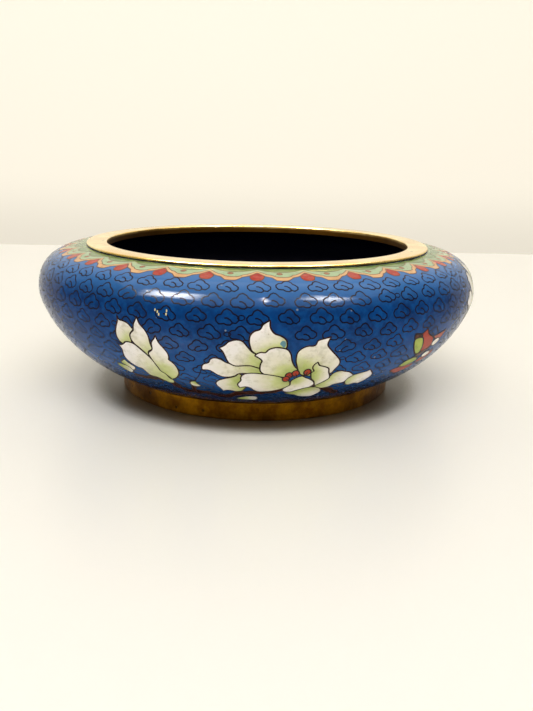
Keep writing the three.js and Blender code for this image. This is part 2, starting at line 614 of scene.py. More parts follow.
class Inlay:
    """Flat cells: triangles, the cell that each belongs to, and the edges that carry wire."""

    def __init__(self, cells, spacing, plain_sides=()):
        self.cells = cells
        spots, loops = self.outlines()
        made = delaunay_2d_cdt(
            spots + self.filling(spots, spacing), [], loops, INSIDE_ONLY, SAME_SPOT, True)
        self.spots = made[0]
        self.faces, self.owners = [], []
        for face, origins in zip(made[2], made[5]):
            if origins:
                self.faces.append(face)
                self.owners.append(max(origins))
        self.wires = self.borders(plain_sides)

    def outlines(self):
        """The points of all outlines, and for each cell the loop of its points."""
        spots, loops = [], []
        for cell in self.cells:
            line = [Vector((spot.x, -spot.y)) for spot in smooth_line(cell["outline"])]
            area = sum(a.cross(b) for a, b in zip(line, line[1:] + line[:1]))
            line = line if area > 0 else line[::-1]
            loops.append(list(range(len(spots), len(spots) + len(line))))
            spots += line
        return spots, loops

    @staticmethod
    def filling(spots, spacing):
        """Points in staggered rows, so that a cell bends with the wall."""
        low_x, high_x = min(s.x for s in spots), max(s.x for s in spots)
        low_y, high_y = min(s.y for s in spots), max(s.y for s in spots)
        row_height = spacing * 0.87
        points = []
        for row in range(1, int((high_y - low_y) / row_height)):
            for column in range(1, int((high_x - low_x) / spacing)):
                x = low_x + (column + (row % 2) / 2) * spacing
                points.append(Vector((x, low_y + row * row_height)))
        return points

    def borders(self, plain_sides):
        """Edges between different cells, apart from those on a plain side or round a stain or a
        painted glint.
        """
        sides = {}
        for face, owner in zip(self.faces, self.owners):
            for a, b in zip(face, face[1:] + face[:1]):
                sides.setdefault((min(a, b), max(a, b)), []).append(owner)
        wires = []
        for (a, b), owners in sides.items():
            across = [self.spots[a].x, self.spots[b].x]
            on_side = any(sum(abs(x - side) for x in across) < 1e-3 for side in plain_sides)
            bare = any(self.cells[owner]["kind"] in ("stain", "chip") for owner in owners)
            if not on_side and not bare and (len(owners) == 1 or owners[0] != owners[1]):
                wires.append((a, b))
        return wires

    def part(self, name, kinds, lift):
        """The cells of some kinds as a flat drawing, with a shade for each corner."""
        chosen = [i for i, owner in enumerate(self.owners) if self.cells[owner]["kind"] in kinds]
        reaches = {}
        for index in chosen:
            owner = self.owners[index]
            for corner in self.faces[index]:
                reaches.setdefault(owner, []).append(self.reach(corner, owner))
        points, faces, shades, tones = [], [], [], []
        known = {}
        for index in chosen:
            owner = self.owners[index]
            cell = self.cells[owner]
            face = []
            for corner in self.faces[index]:
                if (corner, owner) not in known:
                    known[corner, owner] = len(points)
                    spot = self.spots[corner]
                    points.append((spot.x * MM, spot.y * MM, lift))
                    low, high = min(reaches[owner]), max(reaches[owner])
                    shades.append((self.reach(corner, owner) - low) / (high - low))
                    tones.append(kinds[cell["kind"]] + cell["tone"])
                face.append(known[corner, owner])
            faces.append(face)
        return drawing(name, points, faces=faces, shade=shades, tone=tones)

    def reach(self, corner, owner):
        """How far a point is from the root of its cell."""
        spot = self.spots[corner]
        return (Vector((spot.x, -spot.y)) - Vector(self.cells[owner]["root"])).length

    def lines(self, name):
        """All edges that carry wire, as a flat drawing."""
        points = [(spot.x * MM, spot.y * MM, 0) for spot in self.spots]
        return drawing(name, points, edges=self.wires)


def cell(kind, outline, root=None, tone=0.0):
    """One cell. Its colour changes with the distance from its root."""
    root = root or outline[0][:2]
    return {"kind": kind, "outline": outline, "root": root, "tone": tone}


print("cells know their own wires")

# %% [markdown]
# ## Colours
# Fired enamel is glass: smooth and clear on top, with colour that drifts inside one cell. So each
# enamel has a low roughness, a little noise in its colour, and a shade that runs from the tip of
# a petal to its root. Small pits and specks from the firing break the gloss. The blue carries
# painted light: painted reflections on the shoulder and at the collar, painted table light on the
# flank and painted shade at the foot. The mouth ring is worn brass, bright on its flat, tarnished
# and painted darker on its outer roll, and painted a shaded brown inside. The foot is dark and
# patchy, partly from tarnish and partly from painted shade under the belly.

# %% Material helpers


def material(name, **constants):
    """A Principled material, its graph and its shader node."""
    made = bpy.data.materials.new(name)
    made.use_nodes = True
    shader = made.node_tree.nodes["Principled BSDF"]
    for label, value in constants.items():
        shader.inputs[label.replace("_", " ")].default_value = value
    return made, Graph(made.node_tree), shader


def drive(graph, shader, **terms):
    """Links terms to the shader's inputs."""
    for label, term in terms.items():
        graph.tree.links.new(term.socket, shader.inputs[label.replace("_", " ")])


def own_place(graph):
    return graph.node("ShaderNodeTexCoord")["Object"]


def grain(graph, place, scale, detail=2, roughness=0.5):
    """Soft noise between 0 and 1."""
    return graph.node("ShaderNodeTexNoise", None, {
        "Vector": place, "Scale": scale, "Detail": detail, "Roughness": roughness})["Fac"]


def number(graph, name):
    return graph.node("ShaderNodeAttribute", {"attribute_name": name})["Fac"]


def bumped(graph, height, depth):
    return graph.node("ShaderNodeBump", None, {
        "Strength": 1, "Distance": depth, "Height": height})["Normal"]


def pits(graph, place, scale, size, few=0.93):
    """1 in small scattered spots, 0 elsewhere."""
    spots = graph.node("ShaderNodeTexVoronoi", None, {
        "Vector": place, "Scale": scale, "Randomness": 1})
    chance = graph.split(spots["Color"])["X"]
    return (1 - (spots["Distance"] / size).ramp(0.5, 1)) * (chance > few)


print("a noise or a pattern reads the piece's own coordinates")

# %% Enamels


def blue_enamel():
    """Cloudy blue glass with painted light: painted reflections on the shoulder and at the collar,
    painted table light on the flank, and painted shade at the foot.
    """
    made, graph, shader = material("blue enamel", IOR=1.18)
    place = own_place(graph)
    height = graph.split(place)["Z"]
    # Painted light and shade by height: ceiling reflections on the shoulder and at the collar, light
    # from the table on the flank, and shade where the shell meets the foot.
    painted_shoulder_reflection = height.ramp(52.5 * MM, 64.5 * MM)
    painted_collar_reflection = height.ramp(59.5 * MM, 64 * MM)
    painted_table_light = 1 - height.ramp(18 * MM, 48 * MM)
    painted_shade_at_foot = 1 - height.ramp(15 * MM, 27 * MM)
    cloudy = grain(graph, place, 55, 4, 0.6).ramp(0.32, 0.72)
    fine = grain(graph, place, 420, 2).ramp(0.35, 0.75)
    speck = pits(graph, place, 560, 0.3, 0.975)
    within = number(graph, "inner") > 0.5
    blue = graph.blend(cloudy, (0.001, 0.019, 0.090), (0.001, 0.040, 0.170))
    for mask, colour in (
            (fine * 0.45, (0.003, 0.068, 0.250)), (painted_shoulder_reflection * 0.9, (0.040, 0.175, 0.460)),
            (painted_collar_reflection * 0.4, (0.13, 0.23, 0.46)), (painted_table_light * 0.7, (0.014, 0.090, 0.290)),
            (painted_shade_at_foot * 0.85, (0.002, 0.016, 0.055)), (speck * 0.5, (0.28, 0.30, 0.26)),
            (within, (0.0003, 0.0006, 0.012))):
        blue = graph.blend(mask, blue, colour)
    rough = grain(graph, place, 90, 3) * 0.08 + 0.04 + speck * 0.3 + within * 0.4
    drive(graph, shader, Base_Color=blue, Roughness=rough,
          Normal=bumped(graph, grain(graph, place, 110, 2) * 0.6 - speck, 0.02 * MM))
    return made


def petal_enamel():
    """Cream glass that turns green towards the root of a petal, with dirt in its pits."""
    made, graph, shader = material("blossom enamel", IOR=1.3)
    place = own_place(graph)
    cloudy = grain(graph, place, 150, 4, 0.65)
    shade = (number(graph, "shade") + (cloudy - 0.5) * 0.55 + number(graph, "tone")).clamped()
    colour = graph.node("ShaderNodeValToRGB", {"stops": [
        (0.08, (0.31, 0.37, 0.10)), (0.30, (0.47, 0.50, 0.22)), (0.55, (0.64, 0.61, 0.49)),
        (0.85, (0.72, 0.69, 0.665))]}, {"Fac": shade})["Color"]
    stain = grain(graph, place, 260, 4, 0.7).ramp(0.46, 0.70)
    colour = graph.blend(stain * 0.5, colour, (0.36, 0.34, 0.22))
    speck = pits(graph, place, 900, 0.3, 0.9)
    colour = graph.blend(speck * 0.45, colour, (0.25, 0.18, 0.10))
    drive(graph, shader, Base_Color=colour, Roughness=cloudy * 0.12 + 0.08 + speck * 0.3,
          Normal=bumped(graph, cloudy * 0.5 - speck, 0.05 * MM))
    return made


def toned_enamel(name, stops, chalk):
    """An enamel whose colour is picked by the number of its cell. Chalk makes it paler in clouds."""
    made, graph, shader = material(name, IOR=1.2)
    place = own_place(graph)
    cloudy = grain(graph, place, 170, 4, 0.6)
    colour = graph.node("ShaderNodeValToRGB", {"stops": stops}, {
        "Fac": number(graph, "tone")})
    colour.made.color_ramp.interpolation = "CONSTANT"
    pale = graph.blend(cloudy.ramp(0.35, 0.75) * chalk, colour["Color"], (0.66, 0.60, 0.44))
    dark = graph.blend((1 - cloudy.ramp(0.25, 0.5)) * 0.2, pale, (0.04, 0.02, 0.01))
    speck = pits(graph, place, 900, 0.3)
    drive(graph, shader, Base_Color=graph.blend(speck * 0.5, dark, (0.12, 0.09, 0.06)),
          Roughness=cloudy * 0.15 + 0.08, Normal=bumped(graph, cloudy * 0.5 - speck, 0.05 * MM))
    return made


COLLAR_TONES = {"mint": 0.05, "green": 0.25, "peach": 0.45, "red": 0.65, "comma": 0.85}
ACCENT_TONES = {"branch": 0.05, "green": 0.2, "red": 0.35, "dark": 0.5, "pink": 0.65, "stain": 0.75,
                "chip": 0.84, "white": 0.95}
collar_enamel = toned_enamel("collar enamel", [
    (0.0, (0.38, 0.52, 0.30)), (0.15, (0.15, 0.26, 0.09)), (0.35, (0.72, 0.42, 0.20)),
    (0.55, (0.44, 0.030, 0.020)), (0.75, (0.40, 0.17, 0.09))], 0.16)
accent_enamel = toned_enamel("accent enamel", [
    (0.0, (0.030, 0.004, 0.003)), (0.12, (0.29, 0.36, 0.06)), (0.27, (0.32, 0.035, 0.015)),
    (0.42, (0.06, 0.014, 0.01)), (0.57, (0.35, 0.08, 0.055)), (0.70, (0.10, 0.22, 0.26)),
    (0.8, (0.66, 0.60, 0.30)), (0.9, (0.85, 0.79, 0.70))], 0.02)
enamel_blue = blue_enamel()
enamel_petal = petal_enamel()
print("enamels:", [made.name for made in bpy.data.materials])

# %% Metals


def wire_metal(name, dark, light, copper):
    """Wire that has gone dark. Near the mouth it turns copper-brown, by a share."""
    made, graph, shader = material(name, IOR=1.16)
    place = own_place(graph)
    worn = grain(graph, place, 300, 3).ramp(0.45, 0.8)
    colour = graph.blend(worn, dark, light)
    near_mouth = graph.split(place)["Z"].ramp(60.5 * MM, 64 * MM)
    colour = graph.blend(near_mouth * copper, colour, (0.20, 0.095, 0.03))
    drive(graph, shader, Base_Color=colour, Roughness=worn * 0.2 + 0.3)
    return made


def mouth_metal():
    """Polished brass, scuffed and spotted, tarnished and painted darker on its outer roll, and painted
    a shaded brown inside.
    """
    made, graph, shader = material("mouth brass", Metallic=1)
    place = own_place(graph)
    worn = grain(graph, place, 70, 5, 0.65)
    rubbed = grain(graph, place, 600, 3)
    bright = graph.blend(worn.ramp(0.35, 0.7), (0.90, 0.60, 0.18), (1.0, 0.85, 0.42))
    speck = pits(graph, place, 330, 0.25)
    bright = graph.blend(speck * 0.7, bright, (0.25, 0.14, 0.05))
    # The outer roll is darkened by tarnish patches and by an even painted shade over the whole roll,
    # which dims its highlight.
    roll = 1 - graph.split(place)["Z"].ramp(rim_top - 0.45 * MM, rim_top - 0.02 * MM)
    tarnish_and_painted_shade = (grain(graph, place, 38, 3).ramp(0.42, 0.58) * 0.5 + 0.45) * roll
    bright = graph.blend(tarnish_and_painted_shade, bright, (0.26, 0.14, 0.03))
    # Painted shade: the lining inside the mouth is coloured a dark brown.
    brown = graph.blend(worn, (0.010, 0.004, 0.0003), (0.040, 0.017, 0.002))
    lining = number(graph, "inner").ramp(0.3, 0.7)
    drive(graph, shader, Base_Color=graph.blend(lining, bright, brown),
          Roughness=worn * 0.2 + 0.06 + lining * 0.35 + roll * 0.12,
          Normal=bumped(graph, rubbed * 0.5 - speck, 0.04 * MM))
    return made


def foot_metal(name, dark, light):
    """Dark brass, partly tarnish and partly painted shade: patches of two tones, small pits and a dull
    grain.
    """
    made, graph, shader = material(name, Metallic=1)
    place = own_place(graph)
    patches = grain(graph, place, 75, 5, 0.7)
    rough = grain(graph, place, 500, 4, 0.7)
    colour = graph.blend(patches.ramp(0.38, 0.68), dark, light)
    speck = pits(graph, place, 420, 0.4)
    colour = graph.blend(speck * 0.8, colour, (0.012, 0.007, 0.004))
    drive(graph, shader, Base_Color=colour, Roughness=rough * 0.3 + 0.33,
          Normal=bumped(graph, rough - speck, 0.18 * MM))
    return made


wire_dark = wire_metal("dark wire", (0.001, 0.002, 0.010), (0.004, 0.005, 0.014), 0.22)
wire_brown = wire_metal("brown wire", (0.012, 0.004, 0.003), (0.050, 0.018, 0.010), 0.8)
brass_mouth = mouth_metal()
# The foot and the bare edge are coloured dark partly as painted shade, where they stand under the
# belly.
brass_foot = foot_metal("foot brass", (0.085, 0.030, 0.001), (0.27, 0.116, 0.003))
metal_edge = foot_metal("bare edge", (0.04, 0.018, 0.008), (0.22, 0.10, 0.03))
print("materials:", len(bpy.data.materials))

# %% [markdown]
# ## Shell and rings
# The shell is closed: up the outside, over the edge under the mouth ring, down the inside and
# across the dished base. The inside has its own dark enamel, told apart by a number on each row of
# the lathe. The mouth ring has a rounded flat and a collar that lines the cut edge. At the foot a
# narrow strip of the metal is bare, where the enamel stops short of the ring.

# %% Turn the three solids


def arc(radius, height, size, start, stop, steps=6):
    """Part of a circle round a radius and a height, between two angles in degrees."""
    turns = [math.radians(between(start, stop, step / steps)) for step in range(steps + 1)]
    return [Vector((radius + size * math.cos(turn), height + size * math.sin(turn))) for turn in turns]


def dished(lift, steps=14):
    """The base from the middle to the foot ring, a little higher in the middle."""
    radius, low = foot_radius - foot_wall, base_height + lift
    high = low + base_rise
    line = [(0, high), (radius / 2, high), (radius / 2, low), (radius, low)]
    return [cubic(line, step / steps)[0] for step in range(steps + 1)]


ring_gap = 0.1 * MM
edge_round = 0.5 * MM
edge_radius = mouth_radius + collar_wall + ring_gap
under = dished(0)
cut_edge = [Vector((edge_radius, seat_height - depth)) for depth in (inlay, shell_wall)]
within = inside[::-1] + dished(shell_wall)[::-1]
shell = turned_piece(
    "enamelled_shell", under + outside + cut_edge + within, enamel_blue,
    inner=[0] * len(under + outside + cut_edge) + [1] * len(within))
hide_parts("bowl_body")

lip_edge = lip_thickness / 2
flat = arc(rim_radius - lip_edge, rim_top - lip_edge, lip_edge, -90, 90, 10)
flat += arc(mouth_radius + edge_round, rim_top - edge_round, edge_round, 90, 180)
collar_radius = mouth_radius + collar_wall
lining = [Vector((mouth_radius, collar_bottom)), Vector((collar_radius, collar_bottom)),
          Vector((collar_radius, rim_top - lip_thickness))]
mouth_ring = turned_piece(
    "mouth_ring_brass", lining + flat + lining[:1], brass_mouth,
    inner=[1] * len(lining) + [0] * (len(flat) - 1) + [0.5] + [1])
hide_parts("mouth_ring")

foot_inner = foot_radius - foot_wall
foot = arc(foot_radius - edge_round, edge_round, edge_round, -90, 0)
foot += [Vector((foot_radius, foot_height)), Vector((foot_inner, foot_height))]
foot += arc(foot_inner + edge_round, edge_round, edge_round, 180, 270)
foot_ring = turned_piece("foot_ring_brass", foot + foot[:1], brass_foot)
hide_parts("foot_ring")

strip_outside, strip_inside = 0.12 * MM, 0.5 * MM
strip = wall_line(flank, strip_outside, 60)[:3] + wall_line(flank, strip_inside, 60)[:3][::-1]
bare_edge = turned_piece("bare_edge_strip", strip + strip[:1], metal_edge)

# %% [markdown]
# ## The collar
# Under the mouth ring runs a border of 30 scallops: pale green, edged with a peach band that dips
# in steps, with a red lobe between each two. One unit is drawn and repeated by the tree. It runs
# from just left of one scallop's middle to the same place in the next, so that its straight sides
# miss the small oval near the middle. They carry no wire, so the units join unseen.

# %% One unit of the collar
SCALLOPS = 30
unit = circumference / MM / SCALLOPS
left_side, right_side = -13.0, unit - 13.0
side_clearance = 0.6
cell_lift = 0.05 * MM
wire_height = 0.03 * MM


def scallop_line(steps):
    """A stepped edge over one whole unit, from its depth at distances from the scallop's middle."""
    line = []
    for away, depth in steps:
        line += [(-unit / 2 + away, depth), (unit / 2 - away, depth)]
        line += [(-unit / 2 - away, depth), (unit / 2 + away, depth)]
    low, high = left_side + side_clearance, right_side - side_clearance
    inner_part = sorted({(x, y) for x, y in line if low < x < high})
    left_depth = min(line, key=lambda spot: abs(spot[0] - left_side))[1]
    right_depth = min(line, key=lambda spot: abs(spot[0] - right_side))[1]
    side_depth = (left_depth + right_depth) / 2
    top = [(right_side, side_depth, TIP), (right_side, 0, TIP), (left_side, 0, TIP)]
    return [(left_side, side_depth, TIP)] + inner_part + top


band_low = [(0, 12.3), (2, 12.1), (3.5, 11), (4.6, 9.9), (6, 9.4), (7.5, 8.6), (9, 7), (10.4, 5.5)]
band_high = [(0, 9.8), (3, 9.4), (4.5, 8), (6, 7.5), (8, 6), (10.4, 3.8)]
green_low = [(0, 5.2), (3, 4.9), (6, 4.0), (8, 3.0), (10.4, 1.8)]
lobe = [(0, 6.0, TIP), (1.6, 7.2), (2.8, 8.8), (2.8, 10.4), (1.8, 12.0), (0, 12.3),
        (-1.8, 12.0), (-2.8, 10.4), (-2.8, 8.8), (-1.6, 7.2)]
collar = Inlay([
    cell("peach", scallop_line(band_low)), cell("mint", scallop_line(band_high)),
    cell("green", scallop_line(green_low)), cell("red", lobe),
    cell("comma", oval(-11.4, 6.7, 1.3, 1.0))], spacing=1.5, plain_sides=(left_side, right_side))
collar_cells = run(
    CELLS, collar.part("collar unit", COLLAR_TONES, cell_lift), "collar_cells", count=SCALLOPS,
    pitch=unit * MM, guide=guide, material=collar_enamel)
collar_wires = run(
    WIRES, collar.lines("collar lines"), "collar_wires", count=SCALLOPS, pitch=unit * MM,
    width=0.36 * MM, height=wire_height, lift=0.045 * MM, guide=guide, material=wire_brown)

# %% [markdown]
# ## Blossoms
# Two magnolias grow on one dark branch, an open one and a half open one, and a butterfly comes to
# them. Each petal is its own outline, drawn in the order in which the petals lie, and its shade
# runs from the heart of its flower. The branch repeats round the bowl at uneven distances, once
# smaller and once mirrored, as hand work does, so no side is left plain.

# %% Open magnolia
open_bloom = [
    [(14, 67.7), (17, 67), (20, 65.3), (24, 63.5), (27.5, 63.5), (30.5, 65), (32.1, 67.5), (32, 69.5),
     (30, 73), (28.5, 74), (25, 73.5), (22, 72.5), (19.5, 70.5), (16.5, 69.5)],
    [(27.1, 62.4), (29, 60.5), (30.9, 58.7), (31.9, 56), (32.7, 53.9), (34.3, 52.8), (36.2, 52.5),
     (38.3, 53.3), (40.5, 53.9), (42.6, 55.5), (43.7, 56.5, TIP), (42.1, 58.1), (41, 61.1),
     (37.8, 62.1), (36.2, 62.4), (34.6, 64), (31.9, 64.8), (29.3, 64.3)],
    [(41.5, 60.3), (42.1, 58.1), (43.7, 56.5), (46.3, 55.7), (48.5, 55.2), (50.3, 54.7),
     (51.1, 53.9, TIP), (52.2, 55.2), (53.8, 56.8), (54.6, 58.7), (53.8, 60.8), (51.7, 63.5),
     (50.6, 64.5, TIP), (47.9, 63.7), (45.3, 64.5), (43.1, 63.5), (41.8, 61.9)],
    [(27.3, 34.9, TIP), (26.5, 37.9), (27.5, 39.7), (29.7, 42.1), (31.8, 44.3), (33.4, 46.4),
     (33.7, 48.5), (32.6, 51.2), (31.5, 53.6), (27, 55), (20, 54), (17.5, 52), (16.1, 48),
     (15.5, 45.9), (15.3, 43.7), (15.5, 41.3), (16.9, 39.5), (19, 38.5), (21.1, 38.5), (22, 37.9),
     (22.5, 36.3), (24.5, 35.6)],
    [(4.9, 28.4, TIP), (5, 30.9), (6.5, 33.1), (8.9, 34.1), (10.7, 35.5), (11.3, 37.3), (11, 39.4),
     (8, 42), (3, 43), (-1, 41), (-2.1, 38.4), (-2.4, 36.3), (-2.1, 34.1), (-0.7, 32.4),
     (1.4, 31.6), (2.2, 30.1), (3.5, 29.1)],
    [(-17.3, 60.3), (-15.9, 58.1), (-13, 56.5), (-10.3, 55.5), (-8.2, 54.4), (-6.5, 52.9), (-4, 56),
     (-4, 62), (-4.5, 63.2), (-6.1, 65.9), (-8.7, 66.7), (-10.9, 66.1), (-13, 65.9),
     (-15.1, 66.9, TIP), (-15.9, 64.5), (-17, 62.4)],
    [(-21.3, 51.5), (-21.5, 50.1), (-20.5, 48.3), (-18.3, 47.2), (-17.3, 45.3), (-15.4, 44.5),
     (-13, 45.3), (-10.9, 46.8), (-7, 47.5), (0, 47.5), (4, 52.8), (1, 53.2), (-2.5, 52.5),
     (-6.5, 52.7), (-8.2, 54.1), (-10.9, 55.2), (-13.5, 55.2), (-15.9, 53.9), (-17.3, 52.5),
     (-18.9, 51.5)],
    [(-13.4, 39.6, TIP), (-11.4, 38.4), (-9.8, 36.8), (-7.1, 35.9), (-4.7, 36.5), (-2.9, 38.9),
     (-1.2, 41.1), (1.5, 43), (3, 46), (2, 49), (0.6, 48.9), (-1.8, 48), (-4.5, 48), (-7.7, 48.3),
     (-9.8, 47.2), (-10.7, 45.9), (-11.4, 43.7), (-12.2, 41.3)],
    [(-0.3, 42.8, TIP), (0.3, 41.9), (1.9, 41.1), (3.5, 41.2), (4.9, 39.7), (7.3, 38.9), (9.9, 39.2),
     (11.8, 40), (13.1, 42.1), (13.9, 45.3), (15.3, 48.3), (16.9, 50.4), (16.3, 52.8), (13.5, 55),
     (9.9, 54.4), (6.7, 53.9), (4.1, 53.1), (2.2, 51.5), (1.7, 49.6), (1.9, 46.9), (2.4, 45.3),
     (1.4, 44)],
    [(-6.9, 63.2, TIP), (-7.7, 60.3), (-6.1, 57.3), (-6.1, 55.5), (-5.3, 53.6), (-3.4, 52.5),
     (-0.7, 52.2), (1.9, 52.5), (5.1, 53.1), (9.9, 54.4), (12.6, 56.5), (14.7, 58.1),
     (15.3, 60.8, TIP), (12.6, 63.2), (9.9, 64.8), (6.7, 65.9), (3, 66.4), (0.9, 66.1),
     (-0.7, 64.8), (-2.1, 62.9), (-3.9, 62.1), (-5.5, 62.4)],
    [(24.2, 46.4, TIP), (25.4, 48.3), (27.5, 49.1), (29.7, 50.4), (30.5, 52.8), (31.8, 55.5),
     (31.8, 57.3), (29.7, 59.7), (27, 62.1, TIP), (26.2, 60.3), (25.4, 58.4), (23.8, 56.5),
     (23, 53.9), (22.8, 52.5), (23.8, 51.5, TIP), (22.8, 49.6), (23, 48)],
    [(15.3, 60.8, TIP), (15.2, 57.6), (17, 55.5), (19.3, 54.4), (21.1, 55.5), (23.3, 56.8),
     (25.4, 58.7), (26.2, 60.8), (24.9, 62.9), (22.2, 64), (19, 65.6), (16.9, 66.9), (14.7, 66.9),
     (12.9, 65.9), (12.6, 64), (13.7, 62.4)],
]
heart = (16, 56)
print("the open magnolia has", len(open_bloom), "petals")

# %% Half open magnolia, bud and leaf
half_bloom = [
    [(-53.7, 30.4, TIP), (-52.7, 32), (-50.8, 32.3), (-48.7, 33.1), (-46.8, 35.2, TIP), (-48.1, 36.8),
     (-49.1, 38.4), (-49.2, 41), (-51.3, 43.2), (-54, 42.7, TIP), (-55.3, 41.6), (-55.9, 39.5),
     (-55.6, 37.3), (-54.5, 34.7), (-53.5, 32.5)],
    [(-44.7, 29.9, TIP), (-43.6, 32.5), (-41.7, 34.7), (-40.7, 37.3), (-40.7, 40.5),
     (-40.4, 43.2, TIP), (-42.5, 44.5), (-43.1, 45.9), (-42.8, 48), (-44.7, 45.3), (-46.5, 43.2),
     (-48.1, 41.6), (-49.1, 39.5), (-48.7, 37.3), (-46.8, 35.5, TIP), (-46.3, 33.1), (-45.5, 31.5)],
    [(-37.6, 36.5, TIP), (-36.9, 39.5), (-35.3, 42.1), (-34.3, 44.3), (-34.3, 46.4),
     (-34.8, 47.7, TIP), (-33.2, 49.6), (-32.4, 52.3), (-32.7, 55.5), (-34.3, 58.1), (-35.9, 59.7),
     (-38, 60.8, TIP), (-39.1, 58.1), (-41.2, 55.7), (-41.7, 52.8), (-42.5, 49.6), (-43, 47),
     (-43, 45.3), (-40.7, 43.2), (-40.1, 40), (-38.5, 37.9)],
    [(-57.5, 42.7, TIP), (-55.9, 43.5), (-54, 42.7), (-52.4, 41.5), (-50.3, 41.3), (-48.1, 42.1),
     (-46, 44.3), (-43.9, 46.9), (-42.5, 49.6), (-41.7, 53.3), (-41.2, 55.7), (-39.6, 57.3),
     (-38.8, 60.3), (-37.7, 61.3), (-38, 63.5), (-39.6, 64.3), (-41.2, 64), (-43.9, 62.1),
     (-46, 60.8), (-48.7, 60.3), (-50, 58.1), (-50.8, 56), (-52.9, 55.5), (-55.6, 53.3),
     (-56.9, 50.7), (-56.7, 48), (-56.1, 45.9), (-56.7, 43.7)],
]
buds = [
    [(-65.7, 56.3), (-63.6, 55.5), (-62, 56), (-59.9, 56.3), (-58.5, 57.3), (-58.3, 59.2),
     (-59.6, 60.8), (-61.5, 61.3), (-63.6, 59.7), (-65.2, 58.1)],
    [(-62, 54.4), (-60.1, 52.8), (-58.5, 52), (-57.5, 53.6), (-55.1, 56), (-56.1, 57.9),
     (-58, 58.7), (-58.8, 57.1), (-60.4, 56)],
    [(-26.6, 60.3), (-26.1, 62.1), (-25, 63.7), (-27.4, 64.8), (-29.5, 63.7), (-29.8, 61.9),
     (-28.5, 60.5)],
    [(-9.5, 75), (-5.5, 72.7), (-2.3, 71.9), (0.8, 72.4), (1, 75.5), (-0.7, 77.3), (-5.5, 77),
     (-9.3, 76.2)],
]
half_heart = (-42, 60)
print("the half open magnolia has", len(half_bloom), "petals, with", len(buds), "buds and leaves")

# %% Branch, stamens, a stain and painted glints
branches = [
    ([(-60, 62.5), (-54, 63), (-47, 62), (-40, 62.5)], 2.2),
    ([(-39, 62), (-38, 66.5), (-34, 70), (-29, 70.5), (-25, 70.3), (-18, 73), (-13, 72.5),
      (-8, 69), (-2, 68), (3, 67), (8, 66), (14, 63)], 3.5),
    ([(-30.5, 70), (-29.5, 67), (-28.5, 64)], 1.8),
    ([(26, 62.5), (32, 65), (35.7, 67.2), (39.4, 69.9), (43.7, 73)], 3.2),
]
stamens = [(13.8, 53.7), (16.3, 52.5), (12.8, 56.1), (21.1, 52)]
stain = [(9.4, 36), (10.6, 36.4), (10.8, 38), (10.2, 39), (9.2, 38), (8.6, 37.4)]
# These small pale-yellow marks above the branch are painted glints of light.
painted_glints = [(-37.2, 26.8), (-36.2, 27.4), (-35.6, 28.3), (-32.6, 26.8), (-32.7, 28)]
print("the branch has", len(branches), "pieces, and", len(painted_glints), "chips lie above it")

# %% Butterfly
butterfly = [
    ("pink", [(82.7, 56.9), (82, 54.9), (83.5, 53.5), (88, 53.5), (89.4, 50.2), (91, 50.8),
              (92.4, 52.9), (90.5, 55), (87, 56.5)]),
    ("pink", [(81.2, 41.6), (83.9, 41), (87.1, 40.4), (90, 39.6, TIP), (89.4, 42.2), (88.2, 43.9),
              (84.7, 43.5)]),
    ("red", [(66.6, 37.8, TIP), (70.2, 38.3), (71.6, 38.1), (73.7, 36.5, TIP), (75.4, 38.6),
             (77.2, 40), (80.8, 41.6), (82.6, 43.9), (83.6, 46.6), (81.6, 48.4), (78.4, 49.2),
             (76.5, 46), (73.3, 41.2), (70.3, 40), (67.7, 40.5)]),
    ("dark", [(66.8, 38.2), (70.2, 38.7), (72.2, 39.8), (70.4, 40), (67.8, 40.3)]),
    ("green", [(74.5, 49.4), (72, 47.2), (70, 44.9), (68, 41.4), (69.1, 40.2), (71.9, 40.3),
               (73.5, 41.3), (76.1, 45.2), (77, 48.1), (76.5, 49.7)]),
    ("red", [(65.8, 58.4), (68, 57.1), (72.2, 56.8), (76.2, 56.8), (81.5, 57), (81.3, 58.9),
             (77.3, 60.8), (73.8, 61.8), (69.8, 60.8)]),
    ("green", [(69.6, 56.5), (70.5, 54.2), (73.3, 52.4), (76.4, 51.9), (79.9, 52.9), (80.4, 54.8),
               (77.2, 56.2), (74, 57)]),
    ("dark", [(76.3, 50.3), (79, 48.9), (82.4, 47.8), (84, 48.4), (82.2, 50.2), (79.3, 51.7),
              (76.8, 51.7)]),
    ("white", oval(86.3, 45.3, 2.8, 2.1)),
    ("white", oval(86, 52.2, 3.1, 1.9)),
]
print("the butterfly has", len(butterfly), "cells")

# %% Place the blossoms round the bowl
spray_middle = 50.8              # how far down the sheet the middle of a branch lies


def spray(centre, size=(1, 1), rise=0, whole=True, with_butterfly=True):
    """All cells of one branch, from the lowest to the topmost. Its centre is a way along the
    sheet in millimetres, and a negative width mirrors it."""
    cells = []

    def moved(point):
        down = spray_middle - rise + size[1] * (point[1] - spray_middle)
        return (centre + size[0] * point[0], down, *point[2:])

    def add(kind, outline, root=None, tone=0.0):
        root = moved(root) if root else None
        cells.append(cell(kind, [moved(point) for point in outline], root, tone))

    for line, width in branches if whole else branches[-1:]:
        add("branch", ribbon(line, width))
    for outline in buds if whole else []:
        add("petal", outline, tone=-0.25)
    for index, outline in enumerate(open_bloom):
        add("petal", outline, heart, tone=(index * 7 % 5 - 2) * 0.05)
    for outline in half_bloom if whole else []:
        add("petal", outline, half_heart, tone=0.1)
    for x, y in stamens:
        add("red", oval(x, y, 1.5, 1.8))
    add("stain", stain)
    for x, y in painted_glints if whole else []:
        add("chip", oval(x, y, 0.28, 0.6, 5))
    if with_butterfly:
        for kind, outline in butterfly:
            add(kind, outline)
    return cells


